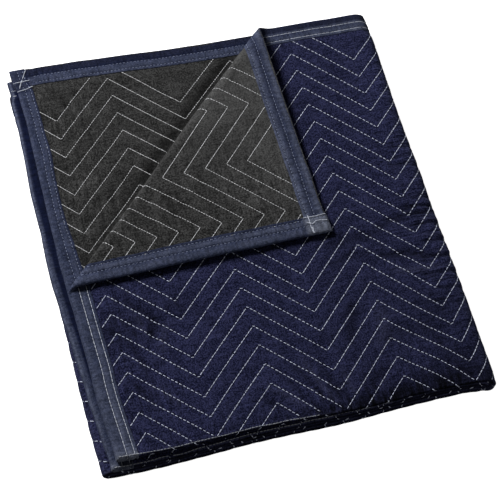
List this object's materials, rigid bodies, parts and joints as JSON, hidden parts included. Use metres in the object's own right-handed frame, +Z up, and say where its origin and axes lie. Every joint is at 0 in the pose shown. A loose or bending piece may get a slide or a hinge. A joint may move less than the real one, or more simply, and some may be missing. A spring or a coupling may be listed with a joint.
{
  "type": "folded quilted moving blanket",
  "caption": "Quilted furniture pad with bound edges, folded into a flat stack with one corner turned back to show its lining.",
  "frame": {"origin": "centre of the folded stack's footprint, on the surface it rests on", "axes": "+X from the open ends to the double fold, +Y from the single fold at the front to the bound edges, +Z up"},
  "size_m": [0.471, 0.5276, 0.0596],
  "materials": {
    "face_cloth": "navy brushed non-woven, quilted in zig-zag rows",
    "back_cloth": "charcoal brushed non-woven, quilted in zig-zag rows",
    "binding": "slate blue non-woven tape, double stitched",
    "thread": "pale lockstitch thread"
  },
  "bodies": {
    "root": {"face_cloth": "face_cloth", "back_cloth": "back_cloth", "binding_far_top": "binding", "binding_far_second": "binding", "binding_end_upper": "binding", "binding_end_lower": "binding"}
  },
  "joints": []
}
